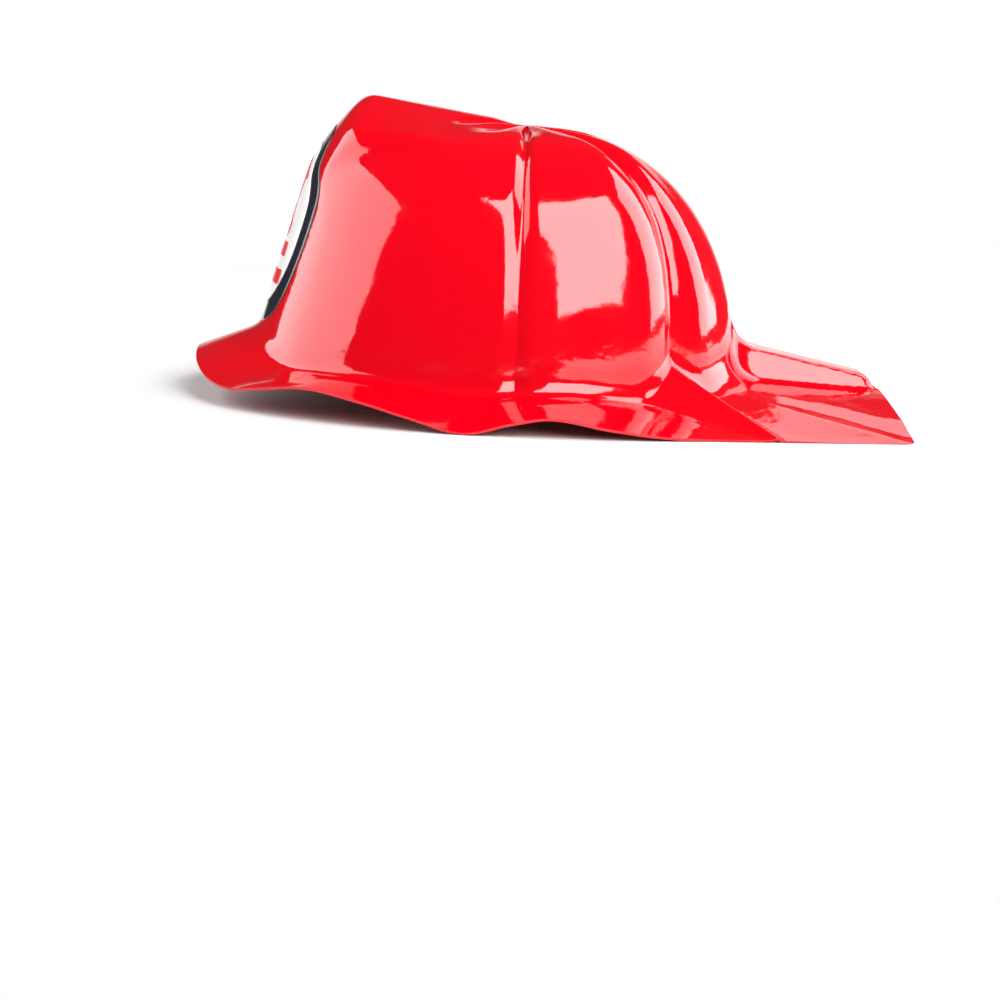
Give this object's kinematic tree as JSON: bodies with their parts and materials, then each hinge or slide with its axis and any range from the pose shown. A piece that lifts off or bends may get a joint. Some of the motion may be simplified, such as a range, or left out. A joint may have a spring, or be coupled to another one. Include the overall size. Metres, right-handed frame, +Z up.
{
  "type": "toy firefighter helmet",
  "caption": "One-piece glossy plastic play helmet in fire service shape: lobed crown, raised front block with a shield label, short front visor, wavy sides and a long ribbed rear brim.",
  "frame": {"origin": "middle of the head opening, on the plane that the lowest parts of the brim edge rest on", "axes": "+Z up, the front of the helmet (label and visor) faces -Y, the tail brim points to +Y, +X is the wearer's left"},
  "size_m": [0.2196, 0.2787, 0.119],
  "materials": {
    "shell_plastic": "gloss",
    "label_black": "gloss",
    "label_white": "satin",
    "label_red": "satin"
  },
  "bodies": {
    "root": {"shell": "shell_plastic", "label_base": "label_black", "label_panel": "label_white", "label_emblem": "label_red", "label_bars": "label_red"}
  },
  "joints": []
}
